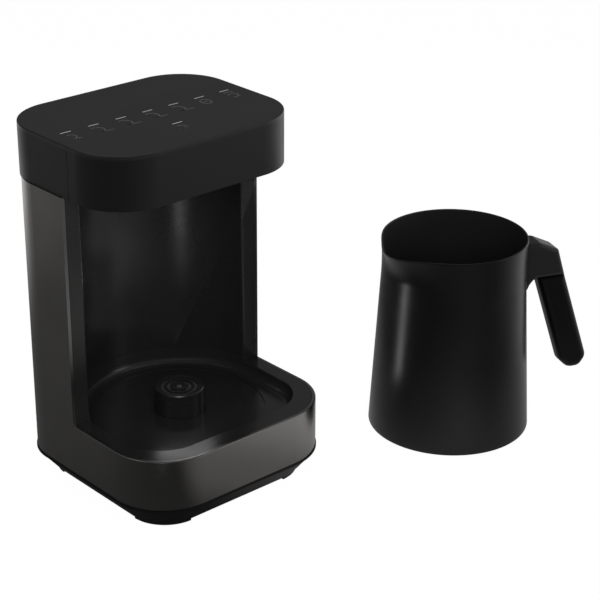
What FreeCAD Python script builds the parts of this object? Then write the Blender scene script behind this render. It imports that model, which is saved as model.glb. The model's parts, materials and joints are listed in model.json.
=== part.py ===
import FreeCAD, Part
import math
import os
import Sketcher
from FreeCAD import Placement, Rotation, Vector

# Electric turkish coffee maker: a tower with an open brewing chamber under a touch-controlled hood,
# and a jug that lifts off its round coupler. Millimetres, +Z up, resting on z = 0.
# Machine pieces are drawn about the middle of the machine, jug pieces about the axis of the jug.

doc = FreeCAD.newDocument("coffee_maker")

DIMENSIONS = (
    # where the machine and the jug stand
    ("machine_x", -105.5), ("machine_y", 30.9), ("jug_dx", 190.7), ("jug_dy", -81.4), ("handle_turn", -22.0),
    # outer shell: skirt of the base and sides of the tower
    ("half_w", 80.75), ("y_front", -82.6), ("y_rear", 73.4), ("r_front", 40.8), ("r_rear", 34.5),
    ("wall", 2.4), ("play", 0.25), ("z_skirt", 18.9), ("z_rim", 55.1), ("z_tower", 217.6), ("y_frame", 4.5),
    # bottom pan and feet
    ("lip", 0.6), ("lip_height", 1.3), ("z_pan", 2.2), ("pan_draw", 12.6), ("pan_wall", 2.6), ("foot_width", 11.0),
    # hood
    ("hood_half_w", 80.0), ("hood_front_y", -47.9), ("hood_rear_y", 77.8), ("hood_r", 36.9), ("z_top", 253.9),
    ("panel_thick", 2.6), ("seam_y", -2.6), ("hood_floor_thick", 2.6), ("panel_edge", 0.9),
    ("bar_long", 8.3), ("bar_wide", 1.3), ("bar_pitch", 21.6), ("bar_y", 19.5), ("start_y", -12.0),
    # brewing chamber
    ("chamber_y", -7.0), ("chamber_r", 68.0), ("liner_wall", 2.2), ("frame_thick", 2.5), ("lap", 1.1),
    # tray
    ("z_floor", 46.5), ("z_seat", 45.7), ("tray_floor", 2.6), ("z_seam", 60.0), ("recess_r", 31.0),
    ("recess_front", -66.8), ("seat_r", 59.0), ("recess_fillet", 6.0), ("rim_fillet", 0.9), ("shell_fillet", 0.8),
    # round coupler in the chamber
    ("coupler_r", 17.0), ("z_coupler", 63.0), ("neck_r", 18.2), ("groove_deep", 5.0),
    # jug
    ("jug_base_r", 58.25), ("jug_neck_r", 51.8), ("jug_rim_r", 51.7), ("jug_top", 145.5), ("z_neck", 112.0),
    ("flare", 290.0),
    ("jug_wall", 1.3), ("z_jug_floor", 26.0), ("z_jug_edge", 1.0), ("spout_reach", 61.9), ("spout_r", 24.0),
    ("z_spout", 127.0), ("socket_play", 0.35), ("socket_deep", 17.8),
    ("arm_width", 20.0), ("grip_width", 15.5), ("z_arm", 107.0),
)

dims = doc.addObject("Spreadsheet::Sheet", "dims")
for row, (alias, value) in enumerate(DIMENSIONS, start=1):
    dims.set("A%d" % row, alias)
    dims.set("B%d" % row, str(value))
    dims.setAlias("B%d" % row, alias)
doc.recompute()


class Size:
    """A length worked out from the sheet: its value, and the expression that keeps it live."""

    def __init__(self, value, text):
        self.value = value
        self.text = text

    def joined(self, other, sign, value):
        return Size(value, "(%s %s %s)" % (self.text, sign, other.text))

    def __add__(self, other):
        other = size(other)
        return self.joined(other, "+", self.value + other.value)

    def __sub__(self, other):
        other = size(other)
        return self.joined(other, "-", self.value - other.value)

    def __mul__(self, other):
        other = size(other)
        return self.joined(other, "*", self.value * other.value)

    def __radd__(self, other):
        return size(other) + self

    def __rsub__(self, other):
        return size(other) - self

    def __rmul__(self, other):
        return self * other

    def __neg__(self):
        return Size(0.0, "0") - self


def size(amount):
    if isinstance(amount, Size):
        return amount
    return Size(float(amount), "%.6g" % amount if amount >= 0 else "(0 - %.6g)" % -amount)


class Sheet:
    """Gives each cell of the sheet by its alias."""

    def __getattr__(self, alias):
        return Size(float(getattr(dims, alias)), "dims." + alias)


d = Sheet()


def bind(obj, path, amount):
    obj.setExpression(path, size(amount).text)


def constrain(sketch, amount, kind, *where):
    amount = size(amount)
    index = sketch.addConstraint(Sketcher.Constraint(kind, *where, amount.value))
    bind(sketch, "Constraints[%d]" % index, amount)


def pin_point(sketch, geometry, end, x, y):
    constrain(sketch, x, "DistanceX", -1, 1, geometry, end)
    constrain(sketch, y, "DistanceY", -1, 1, geometry, end)


# Sketches

def sketch_in(body, name, plane="XY_Plane", level=0):
    sketch = body.newObject("Sketcher::SketchObject", body.Name + "_" + name)
    origin = next(o for o in body.Origin.OriginFeatures if o.Role == plane)
    sketch.AttachmentSupport = (origin, [""])
    sketch.MapMode = "FlatFace"
    bind(sketch, "AttachmentOffset.Base.z", level)
    return sketch


def draw_polygon(sketch, points, bends=()):
    """A closed outline; bends holds (side, radius) pairs for sides that bulge to their left as arcs."""
    points = [(size(x), size(y)) for x, y in points]
    bends = dict(bends)
    first = sketch.GeometryCount
    corners = [Vector(x.value, y.value, 0) for x, y in points]
    count = len(corners)
    for i, (a, b) in enumerate(zip(corners, corners[1:] + corners[:1])):
        if i not in bends:
            sketch.addGeometry(Part.LineSegment(a, b), False)
            continue
        along = b - a
        radius = size(bends[i]).value
        to_centre = math.sqrt(radius ** 2 - along.Length ** 2 / 4) / along.Length
        centre = (a + b) / 2 + Vector(along.y, -along.x, 0) * to_centre
        angles = [math.atan2(end.y - centre.y, end.x - centre.x) for end in (b, a)]
        circle = Part.Circle(centre, Vector(0, 0, 1), radius)
        sketch.addGeometry(Part.ArcOfCircle(circle, angles[0], angles[1]), False)
    for i, (x, y) in enumerate(points):
        after = (i + 1) % count
        ends = (1 if i in bends else 2, 2 if after in bends else 1)
        sketch.addConstraint(Sketcher.Constraint("Coincident", first + i, ends[0], first + after, ends[1]))
    for i, (x, y) in enumerate(points):
        pin_point(sketch, first + i, 2 if i in bends else 1, x, y)
    for i, radius in bends.items():
        constrain(sketch, radius, "Radius", first + i)


def draw_rectangle(sketch, x0, x1, y0, y1):
    draw_polygon(sketch, [(x0, y0), (x1, y0), (x1, y1), (x0, y1)])


def draw_circle(sketch, x, y, radius):
    x, y, radius = size(x), size(y), size(radius)
    circle = Part.Circle(Vector(x.value, y.value, 0), Vector(0, 0, 1), radius.value)
    index = sketch.addGeometry(circle, False)
    pin_point(sketch, index, 3, x, y)
    constrain(sketch, radius, "Radius", index)


def draw_rounded(sketch, half_w, front, rear, r_front, r_rear):
    """A rectangle with two front and two rear corner radii, centred on x = 0."""
    half_w, front, rear = size(half_w), size(front), size(rear)
    r_front, r_rear = size(r_front), size(r_rear)
    w, f, b, rf, rr = half_w.value, front.value, rear.value, r_front.value, r_rear.value
    corners = ((w - rf, f + rf, rf, -90), (w - rr, b - rr, rr, 0), (rr - w, b - rr, rr, 90), (rf - w, f + rf, rf, 180))
    sides = ((rf - w, f, w - rf, f), (w, f + rf, w, b - rr), (w - rr, b, rr - w, b), (-w, b - rr, -w, f + rf))
    for (x, y, r, start), (x0, y0, x1, y1) in zip(corners, sides):
        sketch.addGeometry(Part.LineSegment(Vector(x0, y0, 0), Vector(x1, y1, 0)), False)
        circle = Part.Circle(Vector(x, y, 0), Vector(0, 0, 1), r)
        arc = Part.ArcOfCircle(circle, math.radians(start), math.radians(start + 90))
        sketch.addGeometry(arc, False)
    for i in range(8):
        sketch.addConstraint(Sketcher.Constraint("Tangent", i, 2, (i + 1) % 8, 1))
    for i, kind in ((0, "Horizontal"), (2, "Vertical"), (4, "Horizontal"), (6, "Vertical")):
        sketch.addConstraint(Sketcher.Constraint(kind, i))
    for i, radius in ((1, r_front), (3, r_rear), (5, r_rear), (7, r_front)):
        constrain(sketch, radius, "Radius", i)
    constrain(sketch, half_w, "DistanceX", -1, 1, 2, 1)
    constrain(sketch, -half_w, "DistanceX", -1, 1, 6, 1)
    constrain(sketch, front, "DistanceY", -1, 1, 0, 1)
    constrain(sketch, rear, "DistanceY", -1, 1, 4, 1)


def draw_recess(sketch, half_w, front, centre_y, r_front):
    """The tray's recess: straight sides with rounded front corners, running into the chamber's circle."""
    w, f, c, r = half_w.value, front.value, centre_y.value, r_front.value
    x, y = w - r, f + r

    def arc(cx, cy, radius, start, stop):
        circle = Part.Circle(Vector(cx, cy, 0), Vector(0, 0, 1), radius)
        sketch.addGeometry(Part.ArcOfCircle(circle, math.radians(start), math.radians(stop)), False)

    sketch.addGeometry(Part.LineSegment(Vector(-x, f, 0), Vector(x, f, 0)), False)
    arc(x, y, r, -90, 0)
    sketch.addGeometry(Part.LineSegment(Vector(w, y, 0), Vector(w, c, 0)), False)
    arc(0, c, w, 0, 180)
    sketch.addGeometry(Part.LineSegment(Vector(-w, c, 0), Vector(-w, y, 0)), False)
    arc(-x, y, r, 180, 270)
    for i in range(6):
        sketch.addConstraint(Sketcher.Constraint("Tangent", i, 2, (i + 1) % 6, 1))
    sketch.addConstraint(Sketcher.Constraint("Horizontal", 0))
    sketch.addConstraint(Sketcher.Constraint("Vertical", 2))
    constrain(sketch, r_front, "Radius", 1)
    constrain(sketch, r_front, "Radius", 5)
    constrain(sketch, half_w, "Radius", 3)
    pin_point(sketch, 3, 3, 0, centre_y)
    constrain(sketch, front, "DistanceY", -1, 1, 0, 1)


# Features

def new_body(label):
    body = doc.addObject("PartDesign::Body", label)
    body.Label = label
    body.AllowCompound = True
    return body


def feature(body, kind, sketch):
    made = body.newObject("PartDesign::" + kind, sketch.Name + "_" + kind.lower())
    made.Profile = sketch
    return made


def pad(body, sketch, length, down=False, both_ways=False):
    made = feature(body, "Pad", sketch)
    made.SideType = "Symmetric" if both_ways else "One side"
    made.Reversed = down
    bind(made, "Length", length)
    doc.recompute()
    return made


def pocket(body, sketch, length, up=False, both_ways=False):
    """Cuts away from the sketch, and stops the build if nothing was cut."""
    before = body.Shape.Volume
    made = feature(body, "Pocket", sketch)
    made.SideType = "Symmetric" if both_ways else "One side"
    made.Reversed = up
    bind(made, "Length", length)
    doc.recompute()
    if not body.Shape.Volume < before - 0.01:
        raise RuntimeError(sketch.Name + " cuts nothing")
    return made


def revolve(body, sketch, angle=360, both_ways=False):
    made = feature(body, "Revolution", sketch)
    made.ReferenceAxis = (sketch, ["V_Axis"])
    made.Angle = angle
    made.Midplane = both_ways
    doc.recompute()
    return made


def groove(body, sketch):
    before = body.Shape.Volume
    made = feature(body, "Groove", sketch)
    made.ReferenceAxis = (sketch, ["V_Axis"])
    made.Angle = 360
    doc.recompute()
    if not body.Shape.Volume < before - 0.01:
        raise RuntimeError(sketch.Name + " cuts nothing")
    return made


def loft(body, sketches, cut=False):
    made = feature(body, "SubtractiveLoft" if cut else "AdditiveLoft", sketches[0])
    made.Sections = [(s, [""]) for s in sketches[1:]]
    made.Ruled = True
    doc.recompute()
    return made


def fillet(body, radius, chosen, kind="Fillet"):
    """Rounds (or chamfers) the edges for which chosen(edge) is true."""
    base = body.Tip
    names = ["Edge%d" % (i + 1) for i, edge in enumerate(base.Shape.Edges) if chosen(edge)]
    if not names:
        raise RuntimeError(body.Name + " has no such edge to round")
    made = body.newObject("PartDesign::" + kind, body.Name + "_" + kind.lower())
    made.Base = (base, names)
    bind(made, "Radius" if kind == "Fillet" else "Size", radius)
    doc.recompute()
    return made


def at_height(z, reach=1e9):
    """Edges that lie flat at z, and no further than reach from the middle."""
    def chosen(edge):
        box = edge.BoundBox
        flat = abs(box.ZMin - z) < 0.01 and abs(box.ZMax - z) < 0.01
        return flat and max(abs(box.XMin), abs(box.XMax)) < reach
    return chosen


def ahead_of(z, y_limit, reach, beyond=0):
    """Flat edges at z in front of y_limit that reach out sideways no further than reach, but past beyond."""
    def chosen(edge):
        box = edge.BoundBox
        flat = abs(box.ZMin - z) < 0.01 and abs(box.ZMax - z) < 0.01
        far = max(abs(box.XMin), abs(box.XMax), abs(box.YMin))
        return flat and box.YMax < y_limit + 0.01 and beyond < far < reach and box.YMin < y_limit - 1
    return chosen


def upright_at(*spots):
    """Vertical edges that stand at the given points."""
    def chosen(edge):
        box = edge.BoundBox
        upright = box.XLength < 0.01 and box.YLength < 0.01 and box.ZLength > 1
        return upright and any(abs(box.XMin - x) < 0.05 and abs(box.YMin - y) < 0.05 for x, y in spots)
    return chosen


kept = []


def keep(obj, home="machine", dx=0, dy=0, dz=0, turn=None):
    """Stands a finished piece in its place; dx, dy and dz are in the piece's home frame."""
    obj.Label = obj.Name
    x, y = d.machine_x + dx, d.machine_y + dy
    if home == "jug":
        x, y = d.machine_x + d.jug_dx + dx, d.machine_y + d.jug_dy + dy
    z = size(dz)
    angle = size(0 if turn is None else turn)
    obj.Placement = Placement(Vector(x.value, y.value, z.value), Rotation(Vector(0, 0, 1), angle.value))
    if obj.TypeId != "Part::Feature":
        bind(obj, "Placement.Base.x", x)
        bind(obj, "Placement.Base.y", y)
        bind(obj, "Placement.Base.z", z)
        bind(obj, "Placement.Rotation.Angle", angle)
    kept.append(obj)
    return obj


def turned_solid(label, points, home="machine", dx=0, dy=0, dz=0):
    """A turned piece from its half profile of (radius, z) points."""
    body = new_body(label)
    sketch = sketch_in(body, "profile", "XZ_Plane")
    draw_polygon(sketch, points)
    revolve(body, sketch)
    return keep(body, home, dx, dy, dz)


def rings(label, circles, z, height, home="machine", dx=0, dy=0):
    """Discs and rings of one height: circles is a list of (x, y, radius)."""
    body = new_body(label)
    sketch = sketch_in(body, "plan", level=z)
    for x, y, radius in circles:
        draw_circle(sketch, x, y, radius)
    pad(body, sketch, height)
    return keep(body, home, dx, dy)


def screws(label, spots, z_head, length, head_r=3.1, head=1.8, shank=1.4, pointing_up=True, **where):
    """Pan-head screws: the head's bearing face is at z_head and the shank runs on from it."""
    body = new_body(label)
    heads = sketch_in(body, "heads", level=z_head)
    shanks = sketch_in(body, "shanks", level=z_head)
    for x, y in spots:
        draw_circle(heads, x, y, head_r)
        draw_circle(shanks, x, y, shank)
    pad(body, heads, head, down=pointing_up)
    pad(body, shanks, length, down=not pointing_up)
    return keep(body, **where)


def block(label, x, y, z, length, width, height):
    """A plain component on a circuit board, centred on x, y and standing on z."""
    box = doc.addObject("Part::Box", label)
    bind(box, "Length", length)
    bind(box, "Width", width)
    bind(box, "Height", height)
    return keep(box, dx=x - length / 2, dy=y - width / 2, dz=z)


def tube(label, points, radius, bend, **where):
    """A round lead along straight runs joined by tangent arcs."""
    points = [Vector(*p) for p in points]
    edges = []
    start = points[0]
    for before, here, after in zip(points, points[1:], points[2:]):
        back = (before - here).normalize()
        on = (after - here).normalize()
        trim = bend / math.tan(back.getAngle(on) / 2)
        middle = (back + on).normalize() * (math.hypot(bend, trim) - bend)
        edges.append(Part.LineSegment(start, here + back * trim).toShape())
        edges.append(Part.Arc(here + back * trim, here + middle, here + on * trim).toShape())
        start = here + on * trim
    edges.append(Part.LineSegment(start, points[-1]).toShape())
    path = Part.Wire(edges)
    ring = Part.Wire(Part.makeCircle(radius, points[0], points[1] - points[0]))
    lead = doc.addObject("Part::Feature", label)
    lead.Shape = path.makePipeShell([ring], True, True)
    print(label, "volume over section times length: %.4f" % (
        lead.Shape.Volume / (math.pi * radius ** 2 * path.Length)))
    return keep(lead, **where)


# Base

PAN_SCREWS = [(-40, -43), (40, -43), (-50, 40), (50, 40)]
HOOD_SCREWS = [(-74.2, 13.0), (74.2, 13.0), (-65.5, 58.2), (65.5, 58.2)]
BOARD_SCREWS = [(-43, -30), (43, -30), (-43, 24), (43, 24)]
TOUCH_POSTS = [(-56, -14), (56, -14), (-56, 34), (56, 34)]
CLAMP_R = 26.0
CLAMP_SCREWS = [(CLAMP_R * math.cos(math.radians(a)), CLAMP_R * math.sin(math.radians(a))) for a in (90, 210, 330)]
LEAD_HOLE = (-58.0, 48.0)


def outer_shell():
    body = new_body("outer_shell")
    plan = sketch_in(body, "plan", level=d.z_skirt)
    draw_rounded(plan, d.half_w, d.y_front, d.y_rear, d.r_front, d.r_rear)
    pad(body, plan, d.z_tower - d.z_skirt)
    opening = sketch_in(body, "opening", level=d.z_rim)
    draw_rectangle(opening, -d.half_w - 5, d.half_w + 5, d.y_front - 5, d.y_frame)
    pocket(body, opening, d.z_tower - d.z_rim + 1, up=True)
    inside = sketch_in(body, "inside", level=d.z_skirt - 1)
    draw_rounded(inside, d.half_w - d.wall, d.y_front + d.wall, d.y_rear - d.wall,
                 d.r_front - d.wall, d.r_rear - d.wall)
    pocket(body, inside, d.z_tower - d.z_skirt + 2, up=True)
    # posts that the hood is screwed to
    posts = sketch_in(body, "posts", level=d.z_tower)
    holes = sketch_in(body, "post_holes", level=d.z_tower)
    for x, y in HOOD_SCREWS:
        draw_circle(posts, x, y, 5.2 if y > 30 else 4.3)
        draw_circle(holes, x, y, 1.6)
    pad(body, posts, 16, down=True)
    pocket(body, holes, 12)
    fillet(body, d.shell_fillet, ahead_of(dims.z_rim, dims.y_frame, 90, dims.half_w - 0.5))
    # cord inlet
    inlet = sketch_in(body, "inlet", "XZ_Plane", -(d.y_rear - 10))
    draw_circle(inlet, -30, 34, 6.2)
    pocket(body, inlet, 20)
    return keep(body)


def bottom_pan():
    body = new_body("bottom_pan")
    z_lip = d.z_skirt - d.lip_height

    def outline(name, level, inset):
        sketch = sketch_in(body, name, level=level)
        draw_rounded(sketch, d.half_w - inset, d.y_front + inset, d.y_rear - inset,
                     d.r_front - inset, d.r_rear - inset)
        return sketch

    loft(body, [outline("top", z_lip, size(0)), outline("bottom", d.z_pan, d.pan_draw)])
    pad(body, outline("lip", z_lip, -d.lip), d.lip_height)
    loft(body, [outline("hollow_top", d.z_skirt + 0.01, d.pan_wall),
                outline("hollow_bottom", d.z_pan + d.pan_wall, d.pan_draw + 1.5)], cut=True)
    # posts under the circuit board
    posts = sketch_in(body, "posts", level=d.z_pan + d.pan_wall)
    holes = sketch_in(body, "post_holes", level=10)
    for x, y in BOARD_SCREWS:
        draw_circle(posts, x, y, 3.4)
        draw_circle(holes, x, y, 1.5)
    pad(body, posts, 10 - d.z_pan - d.pan_wall)
    pocket(body, holes, 4)
    # holes for the screws that hold the tray, and the row of air slots
    clearance = sketch_in(body, "clearance", level=d.z_pan + d.pan_wall)
    for x, y in PAN_SCREWS:
        draw_circle(clearance, x, y, 1.8)
    pocket(body, clearance, d.pan_wall)
    slot = sketch_in(body, "slot", level=d.z_pan + d.pan_wall)
    draw_rectangle(slot, -30, -26, -12, 28)
    first = pocket(body, slot, d.pan_wall)
    row_of_slots = body.newObject("PartDesign::LinearPattern", "bottom_pan_slots")
    row_of_slots.Originals = [first]
    row_of_slots.Direction = (slot, ["H_Axis"])
    row_of_slots.Length = 56
    row_of_slots.Occurrences = 8
    body.Tip = row_of_slots
    doc.recompute()
    return keep(body)


def foot(label, x_side, front):
    """A rubber pad that follows a corner of the pan."""
    radius = d.r_front if front else d.r_rear
    outer = radius - d.pan_draw - 0.6
    body = new_body(label)
    sketch = sketch_in(body, "profile", "XZ_Plane")
    draw_polygon(sketch, [(outer - d.foot_width, 0.5), (outer - d.foot_width + 0.5, 0), (outer - 0.5, 0), (outer, 0.5),
                          (outer, d.z_pan), (outer - d.foot_width, d.z_pan)])
    revolve(body, sketch, 86, both_ways=True)
    x = (d.half_w - radius) * x_side
    y = d.y_front + radius if front else d.y_rear - radius
    across = 45 if not front else -45
    return keep(body, dx=x, dy=y, turn=across if x_side > 0 else 180 - across)


def clearance_ring(body):
    ring = sketch_in(body, "seat_ring", level=d.z_floor)
    draw_circle(ring, 0, d.chamber_y, d.seat_r)
    return ring


def tray():
    body = new_body("tray")
    gap = d.wall + d.play
    under = d.z_floor - d.tray_floor
    plan = sketch_in(body, "plan", level=under)
    draw_rounded(plan, d.half_w - gap, d.y_front + gap, d.y_rear - gap, d.r_front - gap, d.r_rear - gap)
    pad(body, plan, d.z_rim - under)
    recess = sketch_in(body, "recess", level=d.z_rim)
    draw_recess(recess, d.chamber_r, d.recess_front, d.chamber_y, d.recess_r)
    pocket(body, recess, d.z_rim - d.z_floor)
    fillet(body, d.recess_fillet, at_height(dims.z_floor, 70))
    seat = sketch_in(body, "seat", level=d.z_floor)
    draw_circle(seat, 0, d.chamber_y, d.seat_r)
    pocket(body, seat, d.z_floor - d.z_seat)
    # the ring in which the jug stands is cut clear of the rounded foot of the wall
    pocket(body, clearance_ring(body), d.recess_fillet, up=True)
    # upstand that laps inside the chamber's liner
    upstand = sketch_in(body, "upstand", level=d.z_rim)
    draw_circle(upstand, 0, d.chamber_y, d.chamber_r)
    draw_circle(upstand, 0, d.chamber_y, d.chamber_r + d.lap)
    pad(body, upstand, d.z_seam - d.z_rim)
    front = sketch_in(body, "front", level=d.z_rim)
    draw_rectangle(front, -75, 75, d.y_front, d.y_frame)
    pocket(body, front, d.z_seam - d.z_rim + 1, up=True)
    fillet(body, d.rim_fillet, ahead_of(dims.z_rim, dims.y_frame, dims.chamber_r + 0.5))
    # bosses for the pan's screws and for the coupler's clamp
    bosses = sketch_in(body, "bosses", level=under)
    for x, y in PAN_SCREWS:
        draw_circle(bosses, x, y, 4.4)
    pad(body, bosses, under - d.z_pan - d.pan_wall, down=True)
    clamp = sketch_in(body, "clamp_bosses", level=under)
    for x, y in CLAMP_SCREWS:
        draw_circle(clamp, x, d.chamber_y + y, 3.4)
    pad(body, clamp, under - 40, down=True)
    pilot = sketch_in(body, "pilot_holes", level=d.z_pan + d.pan_wall)
    for x, y in PAN_SCREWS:
        draw_circle(pilot, x, y, 1.6)
    pocket(body, pilot, 14, up=True)
    clamp_pilot = sketch_in(body, "clamp_pilot", level=40)
    for x, y in CLAMP_SCREWS:
        draw_circle(clamp_pilot, x, d.chamber_y + y, 1.4)
    pocket(body, clamp_pilot, 5, up=True)
    through = sketch_in(body, "through", level=d.z_seam)
    draw_circle(through, 0, d.chamber_y, d.neck_r + 0.3)
    draw_circle(through, LEAD_HOLE[0], LEAD_HOLE[1], 4.5)
    pocket(body, through, 30)
    return keep(body)


def chamber_liner():
    body = new_body("chamber_liner")
    foot_z = d.z_rim + 0.2
    height = d.z_tower - 0.2 - foot_z
    round_wall = sketch_in(body, "round_wall", level=foot_z)
    draw_circle(round_wall, 0, d.chamber_y, d.chamber_r + d.liner_wall)
    pad(body, round_wall, height)
    frame = sketch_in(body, "frame", level=foot_z)
    side = d.half_w - d.wall - d.play
    draw_rectangle(frame, -side, side, d.y_frame, d.y_frame + d.frame_thick)
    pad(body, frame, height)
    bore = sketch_in(body, "bore", level=foot_z - 1)
    draw_circle(bore, 0, d.chamber_y, d.chamber_r)
    pocket(body, bore, height + 2, up=True)
    mouth = sketch_in(body, "mouth", level=foot_z - 1)
    draw_rectangle(mouth, -85, 85, -90, d.y_frame)
    pocket(body, mouth, height + 2, up=True)
    lap = sketch_in(body, "lap", level=foot_z - 1)
    draw_circle(lap, 0, d.chamber_y, d.chamber_r + d.lap + 0.05)
    pocket(body, lap, d.z_seam + 0.15 - foot_z + 1, up=True)
    edge_x = math.sqrt(dims.chamber_r ** 2 - (dims.y_frame - dims.chamber_y) ** 2)
    fillet(body, 1.8, upright_at((-edge_x, dims.y_frame), (edge_x, dims.y_frame)))
    return keep(body)


def coupler_housing():
    """The round coupler: contact rings sit in its grooves, so the jug docks at any angle."""
    top = d.z_coupler
    groove_floor = top - d.groove_deep
    turned_solid("coupler_housing", [
        (0, 40), (22, 40), (22, 43.9), (d.neck_r, 43.9), (d.neck_r, d.z_seat + 0.6), (d.coupler_r, d.z_seat + 0.6),
        (d.coupler_r, top - 0.7), (d.coupler_r - 0.7, top), (12.6, top), (12.6, groove_floor), (10.4, groove_floor),
        (10.4, top), (8.6, top), (8.6, groove_floor), (6.4, groove_floor), (6.4, top), (2.9, top),
        (2.9, groove_floor), (0, groove_floor)], dy=d.chamber_y)


def coupler_parts():
    floor_z = d.z_coupler - d.groove_deep
    tall = d.groove_deep - 0.9
    rings("contact_ring_outer", [(0, 0, 12.4), (0, 0, 10.6)], floor_z, tall, dy=d.chamber_y)
    rings("contact_ring_inner", [(0, 0, 8.4), (0, 0, 6.6)], floor_z, tall, dy=d.chamber_y)
    turned_solid("centre_contact", [(0, floor_z), (2.6, floor_z), (2.6, d.z_coupler - 1.2), (1.8, d.z_coupler - 0.3),
                                    (0, d.z_coupler - 0.3)], dy=d.chamber_y)
    body = new_body("clamp_ring")
    plan = sketch_in(body, "plan", level=38)
    draw_circle(plan, 0, 0, 30)
    draw_circle(plan, 0, 0, 11)
    for x, y in CLAMP_SCREWS:
        draw_circle(plan, x, y, 1.7)
    pad(body, plan, 2)
    keep(body, dy=d.chamber_y)
    screws("clamp_screws", CLAMP_SCREWS, 38, 6, head_r=2.6, head=1.4, shank=1.25, dy=d.chamber_y)
    leads = [(x, -2.0, 1.3) for x in (-5.0, 0.0, 5.0)]
    rings("coupler_leads", leads, 11.6, 40 - 11.6, dy=d.chamber_y)


def base_electrics():
    body = new_body("power_board")
    plan = sketch_in(body, "plan", level=10)
    draw_rectangle(plan, -48, 48, -35, 29)
    for x, y in BOARD_SCREWS:
        draw_circle(plan, x, y, 1.7)
    pad(body, plan, 1.6)
    keep(body)
    screws("board_screws", BOARD_SCREWS, 11.6, 5, head_r=2.8, head=1.6, shank=1.3, pointing_up=False)
    block("relay", -30, -14, 11.6, 20.0, 15.5, 15.5)
    block("transformer", 30, -12, 11.6, 24.0, 19.0, 17.0)
    block("film_capacitor", 12, 16, 11.6, 18.0, 8.0, 13.0)
    block("terminal_block", -22, 21, 11.6, 24.0, 10.0, 12.0)
    fuse = doc.addObject("Part::Cylinder", "fuse")
    bind(fuse, "Radius", 2.6)
    bind(fuse, "Height", 20)
    keep(fuse, dx=30, dy=22, dz=11.6)
    screws("pan_screws", PAN_SCREWS, d.z_pan, 14, head_r=3.4, head=1.7, shank=1.45)


def cord_gland():
    """The cord's inlet in the rear of the skirt: a bush with a flange outside and a nut inside."""
    body = new_body("cord_gland")
    outside = d.y_rear
    for name, level, radius, length in (("flange", outside + 2.2, 9.0, size(2.2)), ("neck", outside, 5.9, d.wall),
                                        ("nut", outside - d.wall, 8.4, size(3.5))):
        sketch = sketch_in(body, name, "XZ_Plane", -level)
        draw_circle(sketch, -30, 34, radius)
        pad(body, sketch, length)
    bore = sketch_in(body, "bore", "XZ_Plane", -(outside - 12))
    draw_circle(bore, -30, 34, 3.4)
    pocket(body, bore, 20)
    return keep(body)


# Hood

def hood_half(label, front):
    body = new_body(label)
    height = d.z_top - d.panel_thick - d.z_tower
    plan = sketch_in(body, "plan", level=d.z_tower)
    draw_rounded(plan, d.hood_half_w, d.hood_front_y, d.hood_rear_y, d.hood_r, d.hood_r)
    inner = d.hood_r - d.wall
    draw_half = sketch_in(body, "inside", level=d.z_tower - 1)
    pad(body, plan, height)
    draw_rounded(draw_half, d.hood_half_w - d.wall, d.hood_front_y + d.wall, d.hood_rear_y - d.wall, inner, inner)
    pocket(body, draw_half, height + 2, up=True)
    other = sketch_in(body, "other_half", level=d.z_tower - 1)
    if front:
        draw_rectangle(other, -90, 90, d.seam_y, d.hood_rear_y + 10)
    else:
        draw_rectangle(other, -90, 90, d.hood_front_y - 10, d.seam_y)
    pocket(body, other, height + 2, up=True)
    return keep(body)


def bar_spots():
    return [((i - 3) * dims.bar_pitch, dims.bar_y) for i in range(7)] + [(0.0, dims.start_y)]


def draw_bars(sketch, play):
    for x, y in bar_spots():
        across, along = d.bar_long * 0.5 - play, d.bar_wide * 0.5 - play
        draw_rectangle(sketch, x - across, x + across, y - along, y + along)


def touch_panel():
    body = new_body("touch_panel")
    plan = sketch_in(body, "plan", level=d.z_top - d.panel_thick)
    draw_rounded(plan, d.hood_half_w, d.hood_front_y, d.hood_rear_y, d.hood_r, d.hood_r)
    pad(body, plan, d.panel_thick)
    fillet(body, d.panel_edge, at_height(dims.z_top))
    windows = sketch_in(body, "windows", level=d.z_top)
    draw_bars(windows, 0)
    pocket(body, windows, d.panel_thick)
    return keep(body)


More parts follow.
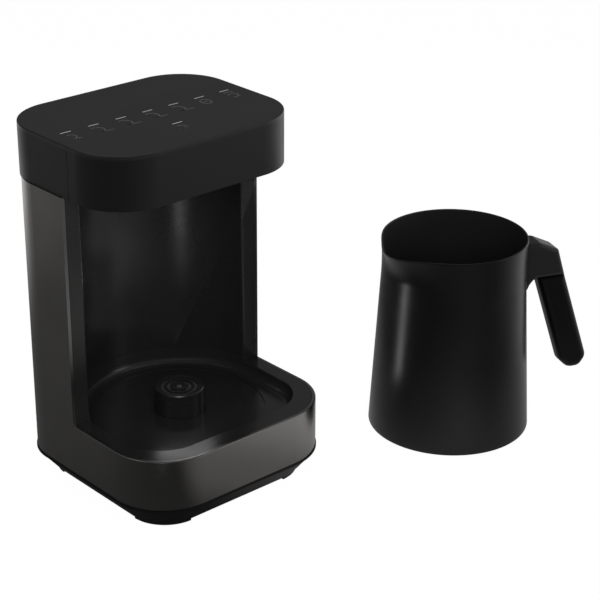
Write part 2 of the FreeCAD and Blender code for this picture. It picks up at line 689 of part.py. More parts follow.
def hood_inside():
    z_floor_top = d.z_tower + d.hood_floor_thick
    z_board = d.z_top - d.panel_thick - 6.3
    body = new_body("hood_floor")
    gap = d.wall + d.play
    radius = d.hood_r - gap
    plan = sketch_in(body, "plan", level=d.z_tower)
    draw_rounded(plan, d.hood_half_w - gap, d.hood_front_y + gap, d.hood_rear_y - gap, radius, radius)
    pad(body, plan, d.hood_floor_thick)
    posts = sketch_in(body, "posts", level=z_floor_top)
    for x, y in TOUCH_POSTS:
        draw_circle(posts, x, y, 3.4)
    pad(body, posts, z_board - z_floor_top)
    collar = sketch_in(body, "collar", level=z_floor_top)
    draw_circle(collar, 0, d.chamber_y, 13)
    draw_circle(collar, 0, d.chamber_y, 10)
    pad(body, collar, 2.4)
    holes = sketch_in(body, "holes", level=z_floor_top + 5)
    for x, y in HOOD_SCREWS:
        draw_circle(holes, x, y, 1.8)
    draw_circle(holes, 0, d.chamber_y, 9.2)
    draw_circle(holes, LEAD_HOLE[0], LEAD_HOLE[1], 4.5)
    pocket(body, holes, 12)
    pilot = sketch_in(body, "pilot_holes", level=z_board)
    for x, y in TOUCH_POSTS:
        draw_circle(pilot, x, y, 1.4)
    pocket(body, pilot, 7)
    keep(body)
    screws("hood_screws", HOOD_SCREWS, z_floor_top, 12, pointing_up=False)
    turned_solid("sensor_lens", [(0, d.z_tower - 0.7), (8.0, d.z_tower - 0.7), (8.9, d.z_tower), (8.9, z_floor_top),
                                 (0, z_floor_top)], dy=d.chamber_y)
    block("sensor_board", 0, -7, dims.z_tower + dims.hood_floor_thick + 2.4, 30.0, 24.0, 1.6)
    board = new_body("touch_board")
    plan = sketch_in(board, "plan", level=z_board)
    draw_rectangle(plan, -74, 74, -20, 48)
    for x, y in TOUCH_POSTS:
        draw_circle(plan, x, y, 1.6)
    pad(board, plan, 1.6)
    keep(board)
    screws("touch_board_screws", TOUCH_POSTS, z_board + 1.6, 7, head_r=2.6, head=1.4, shank=1.25, pointing_up=False)
    guides = new_body("light_guides")
    plan = sketch_in(guides, "plan", level=z_board + 1.6)
    draw_bars(plan, 0.08)
    pad(guides, plan, d.z_top - 0.1 - z_board - 1.6)
    keep(guides)
    pads = [(x, y - 8.0, 2.6) for x, y in bar_spots()]
    rings("touch_springs", pads, z_board + 1.6, d.z_top - d.panel_thick - z_board - 1.6)
    rings("buzzer", [(34, 0, 6.5)], z_board - 5, 5)
    x, y = LEAD_HOLE
    high = dims.z_top - dims.panel_thick - 6.3
    route = [(-41, 6, 11.6), (-41, 6, 30), (x, 24, 30), (x, y, 30), (x, y, 232), (-46, 34, 232), (-46, 34, high)]
    tube("wire_harness", route, 2.2, 4.5)


# Jug

def wall_r(z, inset=0):
    """Radius of the jug's outer wall at height z, less an inset: a cone, then an arc that flares to the rim."""
    if z <= dims.z_neck:
        run = (dims.jug_base_r - dims.jug_neck_r) / (dims.z_neck - dims.z_jug_edge)
        return dims.jug_base_r - run * (z - dims.z_jug_edge) - inset
    half = (dims.jug_top - dims.z_neck) / 2
    centre = (dims.jug_neck_r + dims.jug_rim_r) / 2 + math.sqrt(dims.flare ** 2 - half ** 2)
    return centre - math.sqrt(dims.flare ** 2 - (z - dims.jug_top + half) ** 2) - inset


def draw_wall(sketch, clear=0):
    """The jug's outer wall, filled to the axis and grown by a clearance."""
    draw_polygon(sketch, [(0, d.z_jug_edge), (d.jug_base_r + clear, d.z_jug_edge), (d.jug_neck_r + clear, d.z_neck),
                          (d.jug_rim_r + clear, d.jug_top), (0, d.jug_top)], [(2, d.flare)])


def jug_body():
    body = new_body("jug_body")
    outside = sketch_in(body, "outside", "XZ_Plane")
    draw_wall(outside)
    revolve(body, outside)

    def spout_rings(name, inset, over):
        low = sketch_in(body, name + "_low", level=d.z_spout)
        draw_circle(low, -(wall_r(dims.z_spout) - 22.2), 0, 22.0 - inset)
        high = sketch_in(body, name + "_high", level=d.jug_top + over)
        draw_circle(high, -(d.spout_reach - d.spout_r + over * 0.4), 0, d.spout_r - inset)
        return [low, high]

    loft(body, spout_rings("spout", 0, 0))
    inside = sketch_in(body, "inside", "XZ_Plane")
    floor = dims.z_jug_floor
    inner = d.jug_wall
    draw_polygon(inside, [(0, floor), (wall_r(floor + 5, dims.jug_wall) - 5, floor),
                          (wall_r(floor + 5, dims.jug_wall), floor + 5), (d.jug_neck_r - inner, d.z_neck),
                          (d.jug_rim_r - inner, d.jug_top), (d.jug_rim_r - inner, d.jug_top + 5),
                          (0, d.jug_top + 5)], [(3, d.flare)])
    groove(body, inside)
    loft(body, spout_rings("spout_inside", dims.jug_wall, 0.01), cut=True)
    under = sketch_in(body, "under", "XZ_Plane")
    ceiling = floor - dims.jug_wall
    draw_polygon(under, [(0, -1), (wall_r(-1, dims.jug_wall), -1), (wall_r(ceiling, dims.jug_wall), ceiling),
                         (0, ceiling)])
    groove(body, under)
    return keep(body, "jug")


COVER_SCREWS = [(44 * math.cos(math.radians(a)), 44 * math.sin(math.radians(a))) for a in (30, 150, 270)]


def jug_underside():
    ceiling = d.z_jug_floor - d.jug_wall
    plate_low = ceiling - 2
    body = new_body("heater_plate")
    plan = sketch_in(body, "plan", level=plate_low)
    draw_circle(plan, 0, 0, 53)
    pad(body, plan, 2)
    studs = sketch_in(body, "studs", level=plate_low)
    holes = sketch_in(body, "stud_holes", level=2.4)
    for x, y in COVER_SCREWS:
        draw_circle(studs, x, y, 3.2)
        draw_circle(holes, x, y, 1.6)
    pad(body, studs, plate_low - 2.4, down=True)
    pocket(body, holes, 10, up=True)
    keep(body, "jug")
    element = doc.addObject("Part::Torus", "heater_element")
    bind(element, "Radius1", 36)
    bind(element, "Radius2", 3)
    keep(element, "jug", dz=plate_low - 3)
    rings("jug_thermostat", [(0, 0, 9)], plate_low - 2.6, 2.6, "jug")
    # cover that the jug stands on, raised a little in the middle
    cover = new_body("jug_bottom_cover")
    profile = sketch_in(cover, "profile", "XZ_Plane")
    edge = 56.6
    draw_polygon(profile, [(21.6, 0.8), (49, 0.8), (49.8, 0), (edge - 0.8, 0), (edge, 0.8), (edge, 2.4), (21.6, 2.4)])
    revolve(cover, profile)
    holes = sketch_in(cover, "holes", level=2.4)
    sinks = sketch_in(cover, "sinks", level=1.6)
    for x, y in COVER_SCREWS:
        draw_circle(holes, x, y, 1.8)
        draw_circle(sinks, x, y, 2.9)
    pocket(cover, holes, 3)
    pocket(cover, sinks, 3)
    keep(cover, "jug")
    screws("cover_screws", COVER_SCREWS, 1.6, 9, head_r=2.6, head=1.2, shank=1.45, home="jug")
    rings("jug_seal", [(0, 0, 56.4), (0, 0, 54)], 2.4, 2.2, "jug")
    bore = d.coupler_r + d.socket_play
    roof = d.socket_deep
    turned_solid("jug_coupler", [
        (bore + 0.6, 0.8), (21.3, 0.8), (21.3, 2.4), (25, 2.4), (25, 4.6), (19, 4.6), (19, roof + 1.6), (0, roof + 1.6),
        (0, roof), (bore + 0.5, roof), (bore + 0.5, 10.4), (bore, 10.4), (bore, 1.4)], "jug")
    rings("jug_contacts", [(0, 0, 12.2), (0, 0, 10.9), (0, 0, 8.1), (0, 0, 6.9), (0, 0, 1.6)], roof - 0.8, 0.8, "jug")


def side_profile(body, name, points, width):
    """A profile in the handle's upright plane, thickened evenly to both sides."""
    sketch = sketch_in(body, name, "XZ_Plane")
    draw_polygon(sketch, points)
    return pad(body, sketch, width, both_ways=True)


def along_plane(width):
    """Edges that lie in either side face of a piece of this width."""
    def chosen(edge):
        box = edge.BoundBox
        return box.YLength < 0.01 and abs(abs(box.YMin) - width / 2) < 0.01
    return chosen


def across_at(*spots):
    """Edges that run across the handle at the given (x, z) points."""
    def chosen(edge):
        box = edge.BoundBox
        across = box.XLength < 0.01 and box.ZLength < 0.01 and box.YLength > 1
        return across and any(abs(box.XMin - x) < 0.05 and abs(box.ZMin - z) < 0.05 for x, z in spots)
    return chosen


def handle():
    arm_z = dims.z_arm
    # bracket welded to the wall, with a tongue that the arm slides over
    strap = new_body("handle_strap")
    side_profile(strap, "plate", [(48, 100), (53.6, 100), (53.6, 132), (48, 132)], 16)
    side_profile(strap, "tongue", [(50, 112), (76, 112), (76, 119), (50, 119)], 10)
    wall = sketch_in(strap, "wall", "XZ_Plane")
    draw_wall(wall)
    groove(strap, wall)
    hole = sketch_in(strap, "hole", level=119)
    draw_circle(hole, 60.4, 0, 1.7)
    pocket(strap, hole, 7)
    keep(strap, "jug", turn=d.handle_turn)

    arm = new_body("handle_arm")
    width = dims.arm_width
    corner, crown = (78.6, 127.3), (63.4, 134.5)
    side_profile(arm, "side", [(48, 98.5), (55.2, 98.5), (56.9, 102.4), (59.4, 105.4), (62.4, arm_z), (84.7, arm_z),
                               corner, crown, (48, 135.3)], width)
    fillet(arm, 2, across_at(corner))
    fillet(arm, 9, across_at(crown))
    fillet(arm, 3.5, along_plane(width))
    wall = sketch_in(arm, "wall", "XZ_Plane")
    draw_wall(wall, 0.15)
    groove(arm, wall)
    seat = sketch_in(arm, "strap_seat", "XZ_Plane")
    draw_polygon(seat, [(44, 99.8), (53.8, 99.8), (53.8, 132.2), (44, 132.2)])
    pocket(arm, seat, 16.4, both_ways=True)
    slot = sketch_in(arm, "tongue_slot", "XZ_Plane")
    draw_polygon(slot, [(50, 111.9), (76.3, 111.9), (76.3, 119.1), (50, 119.1)])
    pocket(arm, slot, 10.3, both_ways=True)
    hole = sketch_in(arm, "screw_hole", level=121)
    draw_circle(hole, 60.4, 0, 1.7)
    pocket(arm, hole, 30)
    sink = sketch_in(arm, "screw_sink", level=106)
    draw_circle(sink, 60.4, 0, 3.4)
    pocket(arm, sink, 20)
    keep(arm, "jug", turn=d.handle_turn)
    screws("handle_screw", [(0, 0)], 106, 14, head_r=3.1, head=1.8, shank=1.5, home="jug",
           dx=60.4 * math.cos(math.radians(dims.handle_turn)), dy=60.4 * math.sin(math.radians(dims.handle_turn)))

    grip = new_body("handle_grip")
    width = dims.grip_width
    outer, tip, low, inner = (109.0, 37.0), (103.6, 28.7), (94.2, 28.7), (87.2, 35.6)
    side_profile(grip, "side", [(64.1, arm_z), (86.2, arm_z), outer, tip, low, inner], width)
    fillet(grip, 8, across_at(inner, low))
    fillet(grip, 7, across_at(outer, tip))
    fillet(grip, 5.8, along_plane(width))
    keep(grip, "jug", turn=d.handle_turn)


def check_and_write():
    doc.recompute()
    failed = [o.Name for o in doc.Objects if "Invalid" in o.State or "Error" in o.State]
    for piece in kept:
        shape = piece.Shape
        if shape.isNull() or not shape.isValid() or not shape.Solids:
            failed.append(piece.Label)
    if failed:
        raise RuntimeError("these failed: " + ", ".join(failed))
    os.makedirs("parts", exist_ok=True)
    for piece in kept:
        piece.Shape.exportStep("parts/%s.step" % piece.Label)
        print(piece.Label, len(piece.Shape.Solids), "solids", round(piece.Shape.Volume / 1000, 2), "cm3")
    whole = FreeCAD.BoundBox()
    for piece in kept:
        whole.add(piece.Shape.BoundBox)
    print("box", [round(v, 2) for v in (whole.XMin, whole.XMax, whole.YMin, whole.YMax, whole.ZMin, whole.ZMax)])


outer_shell()
bottom_pan()
foot("foot_front_left", -1, True)
foot("foot_front_right", 1, True)
foot("foot_rear_left", -1, False)
foot("foot_rear_right", 1, False)
tray()
chamber_liner()
coupler_housing()
coupler_parts()
base_electrics()
cord_gland()
hood_half("hood_front", True)
hood_half("hood_rear", False)
touch_panel()
hood_inside()
jug_body()
jug_underside()
handle()
check_and_write()
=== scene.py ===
import json
import math

import bpy
import numpy as np
from mathutils import Matrix, Vector


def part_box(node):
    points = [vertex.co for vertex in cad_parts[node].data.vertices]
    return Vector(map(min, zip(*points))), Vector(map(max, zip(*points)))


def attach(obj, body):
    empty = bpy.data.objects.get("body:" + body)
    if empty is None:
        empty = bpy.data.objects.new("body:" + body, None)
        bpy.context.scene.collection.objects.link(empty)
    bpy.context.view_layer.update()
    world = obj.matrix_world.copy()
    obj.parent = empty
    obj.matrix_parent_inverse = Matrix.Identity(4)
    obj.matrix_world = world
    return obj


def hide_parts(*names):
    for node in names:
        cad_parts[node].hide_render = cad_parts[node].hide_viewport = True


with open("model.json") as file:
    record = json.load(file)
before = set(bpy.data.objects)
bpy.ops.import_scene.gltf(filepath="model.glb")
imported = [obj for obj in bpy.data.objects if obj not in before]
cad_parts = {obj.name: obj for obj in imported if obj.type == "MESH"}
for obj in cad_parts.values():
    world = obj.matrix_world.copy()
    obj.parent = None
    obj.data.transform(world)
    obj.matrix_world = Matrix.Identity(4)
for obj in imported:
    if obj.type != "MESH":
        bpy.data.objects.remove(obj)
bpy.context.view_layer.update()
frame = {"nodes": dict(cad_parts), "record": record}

NODES = frame["nodes"]
SCENE = bpy.context.scene

# Places, in metres: the machine's middle, the jug's axis, and the top of the touch panel
MACHINE = Vector((-0.1055, 0.0309, 0.0))
JUG = Vector((0.0852, -0.0505, 0.0))
TOP = 0.2539


# Shader maths

class Value:
    """A shader socket; arithmetic on it adds the Math nodes."""

    def __init__(self, paint, socket):
        self.paint = paint
        self.socket = socket

    def maths(self, operation, *terms):
        return self.paint.add("Math", {"operation": operation}, terms)

    def __add__(self, other): return self.maths("ADD", self, other)
    def __radd__(self, other): return self.maths("ADD", other, self)
    def __mul__(self, other): return self.maths("MULTIPLY", self, other)
    def __rmul__(self, other): return self.maths("MULTIPLY", other, self)
    def __sub__(self, other): return self.maths("SUBTRACT", self, other)
    def __rsub__(self, other): return self.maths("SUBTRACT", other, self)


class Paint:
    """A material with one Principled shader. Keywords set sockets that are the same all over."""

    # a Mix node's sockets when it mixes colours
    MIX_FACTOR, MIX_A, MIX_B, MIX_COLOR = 0, 6, 7, 2

    def __init__(self, name, color, roughness, **plain):
        self.name = name
        self.material = bpy.data.materials.new(name)
        self.material.use_nodes = True
        self.tree = self.material.node_tree
        self.shader = self.tree.nodes["Principled BSDF"]
        self.shader.inputs["Base Color"].default_value = (*color, 1)
        self.shader.inputs["Roughness"].default_value = roughness
        for socket, value in plain.items():
            self.shader.inputs[socket.replace("_", " ")].default_value = value
        self.place = self.add("TexCoord", {}, {}, "Object")

    def add(self, kind, settings, sockets, output=0):
        """Adds one node: settings first, then the values or links of its sockets."""
        node = self.tree.nodes.new("ShaderNode" + kind)
        for key, value in settings.items():
            setattr(node, key, value)
        pairs = sockets.items() if isinstance(sockets, dict) else enumerate(sockets)
        for key, value in pairs:
            if isinstance(value, Value):
                self.tree.links.new(value.socket, node.inputs[key])
            else:
                node.inputs[key].default_value = value
        return Value(self, node.outputs[output])

    def ramp(self, value, low, high, start, end):
        """Smooth step from start to end while the value goes from low to high."""
        return self.add("MapRange", {"interpolation_type": "SMOOTHSTEP"},
                        [value, low, high, start, end])

    def axes(self):
        """The object coordinates, apart."""
        split = self.tree.nodes.new("ShaderNodeSeparateXYZ")
        self.tree.links.new(self.place.socket, split.inputs[0])
        return [Value(self, output) for output in split.outputs]

    def noise(self, scale, detail, rough):
        return self.add("TexNoise", {}, {"Vector": self.place, "Scale": scale, "Detail": detail,
                                         "Roughness": rough})

    def mix(self, factor, a, b):
        """Mixes two colours."""
        sockets = {self.MIX_FACTOR: factor, self.MIX_A: (*a, 1)}
        sockets[self.MIX_B] = b if isinstance(b, Value) else (*b, 1)
        return self.add("Mix", {"data_type": "RGBA"}, sockets, self.MIX_COLOR)

    def bump(self, height, strength, distance):
        self.feed(Normal=self.add(
            "Bump", {}, {"Strength": strength, "Distance": distance, "Height": height}, "Normal"))

    def feed(self, **sockets):
        """Links values to the shader's own sockets."""
        for key, value in sockets.items():
            self.tree.links.new(value.socket, self.shader.inputs[key.replace("_", " ")])


def grey(level, warm=0.0):
    """A grey written as the eye reads it (0 to 1), turned to linear light by the sRGB formula."""
    def linear(c):
        return c / 12.92 if c <= 0.04045 else ((c + 0.055) / 1.055) ** 2.4
    return tuple(linear(max(0.0, c)) for c in (level + warm, level, level - warm))


# Finishes

CLOUD_SCALE = 22.0     # slow changes, a few centimetres across
FINE_SHARE = 0.6       # of the grain in the colour; the rest is the slow change
GLOSS_CHANGE = 0.03    # roughness, up and down
BUMP_STRENGTH = 0.25


def grained(name, dark, light, roughness, grain, depth, **plain):
    """A fine grain in colour and height, between two colours, with a gloss that varies slowly."""
    paint = Paint(name, dark, roughness, **plain)
    fine = paint.noise(grain, 3.0, 0.6)
    cloud = paint.noise(CLOUD_SCALE, 2.0, 0.5)
    tone = fine * FINE_SHARE + cloud * (1 - FINE_SHARE)
    gloss = paint.ramp(cloud, 0.3, 0.7, roughness - GLOSS_CHANGE, roughness + GLOSS_CHANGE)
    paint.feed(Base_Color=paint.mix(tone, dark, light), Roughness=gloss)
    paint.bump(fine, BUMP_STRENGTH, depth)
    return paint


def satin(name, level, roughness, grain=1500.0, depth=0.00004, warm=0.0, spread=0.12, **plain):
    """Fine satin paint, moulded plastic or metal in a grey of the given level."""
    dark, light = (grey(level * share, warm) for share in (1 - spread, 1 + spread))
    return grained(name, dark, light, roughness, grain, depth, **plain)


def moulded(name, color, roughness):
    """Coloured plastic or lacquer of the small parts inside."""
    dark, light = (tuple(c * share for c in color) for share in (0.8, 1.2))
    return grained(name, dark, light, roughness, 1500.0, 0.00003)


shell_coat = satin("shell_coat", 0.5, 0.27, grain=2600.0, depth=0.00006, warm=0.008, spread=0.16,
                   Metallic=1.0)
hood_coat = satin("hood_coat", 0.085, 0.42, grain=3000.0, Specular_IOR_Level=0.35)
panel_coat = satin("panel_coat", 0.125, 0.36, grain=3000.0, depth=0.00002, warm=0.004,
                   Specular_IOR_Level=0.35)
gloss_black = satin("gloss_black", 0.135, 0.22, grain=400.0, depth=0.00001)
liner_gloss = satin("liner_gloss", 0.125, 0.28, grain=400.0, depth=0.00001)
black_plastic = satin("black_plastic", 0.06, 0.5, grain=1800.0, depth=0.00006,
                      Specular_IOR_Level=0.25)
coupler_plastic = satin("coupler_plastic", 0.11, 0.26, grain=2200.0)
handle_plastic = satin("handle_plastic", 0.035, 0.4, grain=2600.0, Specular_IOR_Level=0.13)
# painted light: the handle's arm in a much lighter copy of the handle's plastic, for the light on
# its upper faces
lit_arm_plastic = satin("lit_arm_plastic", 0.135, 0.36, grain=2600.0, Specular_IOR_Level=0.2)
jug_coat = satin("jug_coat", 0.06, 0.3, grain=2400.0, depth=0.00003, Specular_IOR_Level=0.25)
# the inside of the jug: its own rougher finish, and partly painted light, a grey twice as light as
# the outside coat that stands in for light in the shaded inside
jug_lining = satin("jug_lining", 0.12, 0.5, grain=2400.0, depth=0.00003)
rubber = satin("rubber", 0.07, 0.7, grain=900.0, depth=0.0001)
contact_metal = satin("contact_metal", 0.5, 0.34, warm=0.012, Metallic=1.0)
steel = satin("steel", 0.62, 0.32, grain=1200.0, Metallic=1.0)
aluminium = satin("aluminium", 0.72, 0.4, grain=700.0, Metallic=1.0)
circuit_board = moulded("circuit_board", (0.01, 0.09, 0.03), 0.4)
capacitor_case = moulded("capacitor_case", (0.45, 0.27, 0.02), 0.35)
terminal_plastic = moulded("terminal_plastic", (0.02, 0.12, 0.3), 0.45)
wire_cover = moulded("wire_cover", (0.3, 0.02, 0.015), 0.4)
lens = moulded("lens", (0.01, 0.006, 0.006), 0.08)
light_bar = satin("light_bar", 0.88, 0.35, spread=0.06)
mark_print = satin("mark_print", 0.36, 0.5, grain=2000.0)

FINISHES = {paint.name: paint for paint in (
    shell_coat, hood_coat, panel_coat, gloss_black, black_plastic, coupler_plastic, handle_plastic,
    jug_coat, rubber, contact_metal, steel, aluminium, circuit_board, capacitor_case,
    terminal_plastic, wire_cover, light_bar, lens)}

for part in frame["record"]["subparts"]:
    mesh = NODES[part["node"]].data
    mesh.materials.clear()
    mesh.materials.append(FINISHES[part["material_slot"]].material)
# two nodes whose finish differs from that of the rest of their slot: the liner's is a little rougher
# and darker, and the handle's arm has painted light, a much lighter copy of the handle's plastic
NODES["handle_arm"].data.materials[0] = lit_arm_plastic.material
NODES["chamber_liner"].data.materials[0] = liner_gloss.material


# Pieces worked out as surfaces

def mesh_object(name, points, faces, finish, body):
    """A smooth mesh object at the origin, with its finish, that rides on a body."""
    mesh = bpy.data.meshes.new(name)
    mesh.from_pydata(points.reshape(-1, 3).tolist(), [], faces)
    mesh.polygons.foreach_set("use_smooth", np.ones(len(mesh.polygons), bool))
    mesh.materials.append(finish.material)
    piece = bpy.data.objects.new(name, mesh)
    SCENE.collection.objects.link(piece)
    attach(piece, body)
    return piece


def turned_faces(rows, columns):
    """Faces of a surface of revolution whose first and last rows are single points on the axis."""
    ring = np.arange(columns)
    after = np.roll(ring, -1)
    start = 1 + np.arange(rows - 1)[:, None] * columns
    quads = np.stack([start + ring, start + after,
                      start + after + columns, start + ring + columns], -1)
    last = 1 + rows * columns
    top = last - columns
    first_fan = np.stack([np.zeros_like(ring), after + 1, ring + 1], -1)
    last_fan = np.stack([np.full_like(ring, last), top + ring, top + after], -1)
    return quads.reshape(-1, 4).tolist() + first_fan.tolist() + last_fan.tolist()


# Jug

BASE_R, NECK_R, RIM_R = 0.05825, 0.0518, 0.0517
EDGE_Z, NECK_Z, RIM_Z, FLOOR_Z = 0.001, 0.112, 0.1455, 0.026
FLARE = 0.29       # radius of the arc from the neck to the rim
SHEET = 0.0013     # thickness of the wall
CORNER = 0.006     # rounding inside, where the wall meets the floor
POLE_R, CEILING_R, FLAT_R = 0.004, 0.054, 0.044   # innermost ring; flat parts under and on the floor
AROUND = 288       # points of one turn
LIP_ANGLE, LIP_SPREAD = math.radians(178), math.radians(15.5)
LIP_REACH, LIP_Z, LIP_POWER = 0.0102, 0.123, 1.6


def wall_radius(z):
    """Radius of the jug's outside at height z: a cone up to the neck, then a wide arc that
    flares to the rim."""
    cone = BASE_R - (BASE_R - NECK_R) * (z - EDGE_Z) / (NECK_Z - EDGE_Z)
    half = (RIM_Z - NECK_Z) / 2
    centre = (NECK_R + RIM_R) / 2 + math.sqrt(FLARE ** 2 - half ** 2)
    flared = centre - np.sqrt(FLARE ** 2 - (z - RIM_Z + half) ** 2)
    return np.where(z <= NECK_Z, cone, flared)


def bend(r, z, radius, start, end, steps):
    """Part of a circle about (r, z), from one angle to another, in degrees."""
    angle = np.radians(np.linspace(start, end, steps))
    return np.stack([r + radius * np.cos(angle), z + radius * np.sin(angle)], -1)


def jug_profile():
    """Half section of the jug's wall, from the axis under the floor, down inside the base, round
    its edge, up the outside, round the rim, down the inside and along the floor to the axis."""
    hem = SHEET / 2
    low, high = EDGE_Z + hem, RIM_Z - hem
    outside = np.concatenate([np.linspace(low, NECK_Z, 40), np.linspace(NECK_Z, high, 36)[1:]])
    inside = outside[outside > FLOOR_Z + CORNER + 0.0002][::-1]
    ceiling = FLOOR_Z - SHEET
    lower = np.linspace(ceiling - 0.001, low, 10)
    foot = wall_radius(FLOOR_Z + CORNER) - SHEET - CORNER
    return np.concatenate([
        np.stack([np.linspace(POLE_R, CEILING_R, 6), np.full(6, ceiling)], -1),
        np.stack([wall_radius(lower) - SHEET, lower], -1),
        bend(wall_radius(low) - hem, low, hem, 180, 360, 9)[1:-1],
        np.stack([wall_radius(outside), outside], -1),
        bend(wall_radius(high) - hem, high, hem, 0, 180, 11)[1:-1],
        np.stack([wall_radius(inside) - SHEET, inside], -1),
        bend(foot, FLOOR_Z + CORNER, CORNER, 0, -90, 9),
        np.stack([np.linspace(FLAT_R, POLE_R, 6), np.full(6, FLOOR_Z)], -1)])


def make_jug():
    """The profile turned about the axis; near the lip a bell curve of the angle pushes the wall
    out, by a power of the height, so the lip grows smoothly out of the wall."""
    profile = jug_profile()
    angle = np.linspace(0, 2 * np.pi, AROUND, endpoint=False)
    away = (angle - LIP_ANGLE + np.pi) % (2 * np.pi) - np.pi
    rise = np.clip((profile[:, 1] - LIP_Z) / (RIM_Z - LIP_Z), 0, 1) ** LIP_POWER
    radius = profile[:, :1] + LIP_REACH * rise[:, None] * np.exp(-(away / LIP_SPREAD) ** 2 / 2)
    rows = np.stack([radius * np.cos(angle), radius * np.sin(angle),
                     np.repeat(profile[:, 1:], AROUND, 1)], -1)
    poles = [[0, 0, FLOOR_Z - SHEET]], [[0, 0, FLOOR_Z]]
    points = np.concatenate([poles[0], rows.reshape(-1, 3), poles[1]]) + np.array(JUG)
    skin = mesh_object("jug_skin", points, turned_faces(len(profile), AROUND), jug_coat,
                       "jug")
    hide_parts("jug_body")

    # the lining starts at the rim's highest row and ends with the fan in the middle of the floor
    skin.data.materials.append(jug_lining.material)
    rim = int(np.argmax(profile[:, 1]))
    row = np.arange(len(skin.data.polygons)) // AROUND
    skin.data.polygons.foreach_set("material_index", (row > rim).astype(np.int32))


# Marks printed on the touch panel, and the seams of the hood

PRINT_WIDTH, SEAM_WIDTH = 0.0012, 0.0005
SUNK, PROUD = 0.0002, 0.00003      # how deep a line goes into its face, and how far it stands out
SEAM_INSET = 0.0004                # from the ends of the hood's wall
SIGN_PITCH = 21.6                  # millimetres between the signs, as between the light bars


def stroke(path, width, level):
    """A flat line along a path, on a face at the given level: four corners at each point of the
    path, sides between them and an end at each end."""
    along = np.gradient(path, axis=0)
    along /= np.linalg.norm(along, axis=1)[:, None]
    side = np.stack([-along[:, 1], along[:, 0]], -1) * width / 2
    low, high = (np.full((len(path), 1), height) for height in (level - SUNK, level + PROUD))
    corners = np.stack([np.hstack([path - side, low]), np.hstack([path - side, high]),
                        np.hstack([path + side, high]), np.hstack([path + side, low])], 1)
    step = np.arange(len(path) - 1)[:, None] * 4
    edge = np.arange(4)
    after = np.roll(edge, -1)
    quads = np.stack([step + edge, step + edge + 4, step + after + 4, step + after], -1)
    last = 4 * (len(path) - 1)
    ends = np.array([[0, 1, 2, 3], [last + 3, last + 2, last + 1, last]])
    return corners.reshape(-1, 3), np.concatenate([quads.reshape(-1, 4), ends])


def arc(x, y, wide, deep, start, end, steps=14):
    """Part of an ellipse, from one angle to another, in degrees."""
    angle = np.radians(np.linspace(start, end, steps))
    return np.stack([x + wide * np.cos(angle), y + deep * np.sin(angle)], -1)


def line(x0, y0, x1, y1):
    """A straight line, as three points."""
    return np.linspace((x0, y0), (x1, y1), 3)


def touch_marks():
    """Small plain signs in front of the light bars: pots with a handle, a ring and waves. They are
    written in millimetres from the machine's middle."""
    pot = [arc(-3.4, 9.8, 4.4, 4.9, 118, -122), line(-5.6, 5.3, 6.0, 4.6)]
    small_pot = [arc(-1.8, 10.2, 3.0, 3.6, 130, -110), line(-3.4, 6.6, 2.6, 4.4)]
    ring = [arc(-2.0, 9.6, 3.4, 4.6, 90, 450, 22), line(-3.6, 9.6, -0.4, 9.6)]
    waves = [arc(-1.0, 13.6, 3.4, 2.0, 150, -30), arc(-1.0, 8.6, 3.8, 2.6, 150, -60),
             line(-3.8, 4.6, 3.0, 5.2)]
    start = [arc(-2.8, -20.4, 3.2, 3.4, 110, -150), line(-5.2, -23.4, 0.8, -22.8)]
    row = [small_pot, pot, pot, pot, pot, ring, waves]
    paths = [path + np.array([SIGN_PITCH * (place - len(row) // 2), 0])
             for place, sign in enumerate(row) for path in sign] + start
    points, faces, count = [], [], 0
    for path in paths:
        corners, quads = stroke(path / 1000 + np.array(MACHINE)[:2], PRINT_WIDTH, TOP)
        points.append(corners)
        faces.append(quads + count)
        count += len(corners)
    mesh_object("touch_marks", np.concatenate(points), np.concatenate(faces).tolist(), mark_print,
                "machine")


def seam_lines():
    """The dark upright joint between the two halves of the hood: a thin line on each side face,
    the second one being the first turned half round about the machine's middle."""
    low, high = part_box("hood_front")
    half = (high[0] - low[0]) / 2
    for name, turn in (("seam_right", 1), ("seam_left", -1)):
        across = (high[1] - MACHINE.y) * turn
        path = line(across, low[2] + SEAM_INSET, across, high[2] - SEAM_INSET)
        corners, quads = stroke(path, SEAM_WIDTH, half)
        points = corners[:, [2, 0, 1]] * (turn, turn, 1) + np.array(MACHINE)
        mesh_object(name, points, quads.tolist(), black_plastic, "machine")


make_jug()
touch_marks()
seam_lines()


# Floor, surround, camera and lights

FLOOR_HALF = 12.0
FLOOR_LIGHT = 1.055     # a little over 1, because the floor keeps 7% of its own shaded colour
SURROUND = (0.11, 0.11, 0.114)
GLOSS_SHARE = 0.05      # of the white surround in reflections


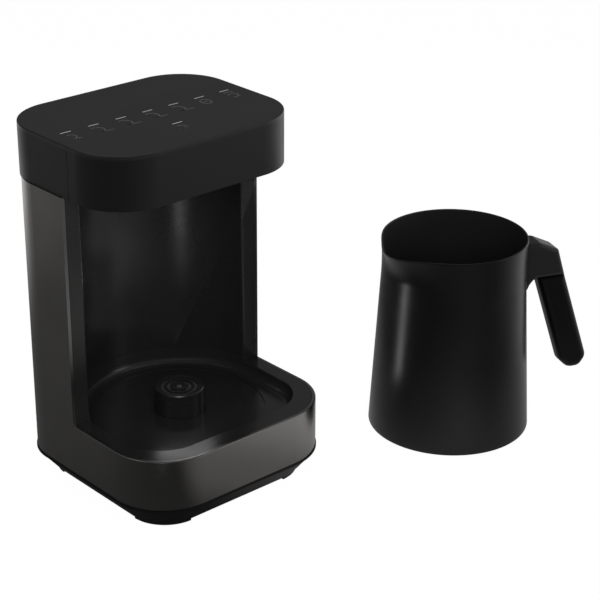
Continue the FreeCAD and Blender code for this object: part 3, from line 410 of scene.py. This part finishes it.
def white_floor():
    """A white floor that keeps a faint shadow. In reflections it shows painted light, a pool that is
    dark at the front left, and brighter to the right, the left and the back."""
    signs = (-1, -1), (1, -1), (1, 1), (-1, 1)
    corners = [(x * FLOOR_HALF, y * FLOOR_HALF, 0) for x, y in signs]
    mesh = bpy.data.meshes.new("floor")
    mesh.from_pydata(corners, [], [(0, 1, 2, 3)])
    floor = bpy.data.objects.new("floor", mesh)
    SCENE.collection.objects.link(floor)

    paint = Paint("floor_white", (0.6, 0.6, 0.6), 0.9)
    paths = paint.tree.nodes.new("ShaderNodeLightPath")
    direct, mirrored, through = (Value(paint, paths.outputs[kind]) for kind in
                                 ("Is Camera Ray", "Is Glossy Ray", "Is Transmission Ray"))
    x, y = paint.axes()[:2]
    across = x - y * 0.6
    # painted light for reflections: it rises to the right in two steps, fades in front and behind,
    # and dims past the jug
    right = paint.ramp(across, -0.11, -0.03, 0, 0.26) + paint.ramp(across, -0.02, 0.13, 0, 0.64)
    right = right * paint.ramp(y, -0.28, -0.14, 0.2, 1) * paint.ramp(x, 0.02, 0.1, 1, 0.5)
    right = (right + paint.ramp(x, 0.2, 0.35, 0, 0.4)) * paint.ramp(y, 0.1, 0.35, 1, 0.6)
    # and painted light to the left only well behind the machine
    behind = paint.ramp(y, 0.3, 0.7, 0, 1) * paint.ramp(x, -0.5, -0.2, 0.15, 0.9)
    left = paint.ramp(y, -0.15, 0.2, 0.02, 0.1) + behind
    seen = direct * 0.93 + mirrored * 0.9 + through * 0.93
    color = paint.mix(mirrored, (1, 1, 1), right + left)
    glow = paint.add("Emission", {}, {"Color": color, "Strength": FLOOR_LIGHT})
    mixed = paint.add("MixShader", {}, [seen, Value(paint, paint.shader.outputs[0]), glow])
    surface = paint.tree.nodes["Material Output"].inputs["Surface"]
    paint.tree.links.new(mixed.socket, surface)
    mesh.materials.append(paint.material)


def surround():
    """A dim grey room that lights the object, seen as white by the camera and through glass."""
    world = bpy.data.worlds.new("surround")
    SCENE.world = world
    world.use_nodes = True
    nodes, links = world.node_tree.nodes, world.node_tree.links
    paths = nodes.new("ShaderNodeLightPath").outputs
    dim, bright = nodes["Background"], nodes.new("ShaderNodeBackground")
    dim.inputs["Color"].default_value = (*SURROUND, 1)
    bright.inputs["Color"].default_value = (1, 1, 1, 1)
    glossy = nodes.new("ShaderNodeMath")
    glossy.operation = "MULTIPLY_ADD"
    links.new(paths["Is Glossy Ray"], glossy.inputs[0])
    glossy.inputs[1].default_value = GLOSS_SHARE
    links.new(paths["Is Camera Ray"], glossy.inputs[2])
    share = nodes.new("ShaderNodeMath")
    links.new(glossy.outputs[0], share.inputs[0])
    links.new(paths["Is Transmission Ray"], share.inputs[1])
    mix = nodes.new("ShaderNodeMixShader")
    for socket, source in enumerate((share, dim, bright)):
        links.new(source.outputs[0], mix.inputs[socket])
    links.new(mix.outputs[0], nodes["World Output"].inputs["Surface"])


# The photograph's view, from its vanishing lines; the eye's place is from the machine's middle
AZIMUTH, ELEVATION, ROLL = math.radians(-41.89), math.radians(24.42), math.radians(0.30)
EYE = Vector((-0.68004, -0.88895, 0.63203))
SENSOR_MM, FOCAL_MM = 36.0, 108.96


def camera():
    """Looks along the azimuth and elevation, with its own right and up turned by the roll."""
    back = Vector((math.sin(AZIMUTH) * math.cos(ELEVATION),
                   -math.cos(AZIMUTH) * math.cos(ELEVATION), math.sin(ELEVATION)))
    right = Vector((math.cos(AZIMUTH), math.sin(AZIMUTH), 0))
    up = back.cross(right)
    turned = right * math.cos(ROLL) + up * math.sin(ROLL)
    raised = up * math.cos(ROLL) - right * math.sin(ROLL)
    place = MACHINE + EYE
    data = bpy.data.cameras.new("camera")
    data.sensor_width = SENSOR_MM
    data.lens = FOCAL_MM
    data.clip_start = 0.05
    view = bpy.data.objects.new("camera", data)
    rows = [(turned[i], raised[i], back[i], place[i]) for i in range(3)]
    view.matrix_world = Matrix(rows + [(0, 0, 0, 1)])
    SCENE.collection.objects.link(view)
    SCENE.camera = view


def soft_box(name, place, towards, size, brightness, spread=180, mirrored=True):
    """An area light; brightness 1 is as bright as a white wall. The spread of its beam is in
    degrees. One that isn't mirrored only fills, and shows in no glossy surface."""
    data = bpy.data.lights.new(name, "AREA")
    data.shape = "RECTANGLE"
    data.size, data.size_y = size
    data.energy = brightness * math.pi * size[0] * size[1]
    data.spread = math.radians(spread)
    lamp = bpy.data.objects.new(name, data)
    turn = (Vector(towards) - Vector(place)).to_track_quat("-Z", "Y").to_matrix().to_4x4()
    lamp.matrix_world = Matrix.Translation(place) @ turn
    lamp.visible_camera = False
    lamp.visible_glossy = mirrored
    SCENE.collection.objects.link(lamp)


white_floor()
surround()
camera()

MIDDLE = (0, 0, 0.1)
soft_box("overhead", (0.2, 0.5, 1.7), MIDDLE, (1.6, 1.2), 0.8)
soft_box("front_left", (-0.9, -1.1, 0.9), MIDDLE, (0.8, 0.8), 6.0, mirrored=False)
soft_box("front_right", (1.2, -1.4, 0.6), MIDDLE, (1.2, 1.0), 0.9)
soft_box("left", (-1.6, 0.1, 0.9), MIDDLE, (0.6, 1.4), 0.35)
soft_box("right", (0.6, -0.14, 0.27), (0.08, -0.05, 0.08), (0.5, 0.5), 0.75)

# slim lamps close by, for the upright streaks on the jug and in the chamber, the glow on the tray
# and the bright front edge of the coupler
soft_box("jug_strip", (-0.006, -0.0245, 0.083), (0.031, -0.0523, 0.081), (0.012, 0.095), 1.65,
         spread=80)
soft_box("chamber_strip", (-0.267, -0.143, 0.05), (-0.0615, 0.0759, 0.19), (0.035, 0.08), 0.11,
         spread=32)
soft_box("chamber_glow", (-0.05, 0.05, 0.16), (-0.116, 0.091, 0.195), (0.035, 0.09), 0.24)
soft_box("chamber_fade", (-0.05, 0.05, 0.125), (-0.116, 0.091, 0.16), (0.035, 0.14), 0.12)
soft_box("tray_glow", (-0.0775, 0.0545, 0.12), (-0.17, -0.05, 0.055), (0.04, 0.016), 2.3)
soft_box("under_hood", (-0.1625, -0.0501, 0.214), (-0.1156, 0.0106, 0.063), (0.1, 0.03), 0.15,
         spread=30)

SCENE.view_settings.view_transform = "Standard"
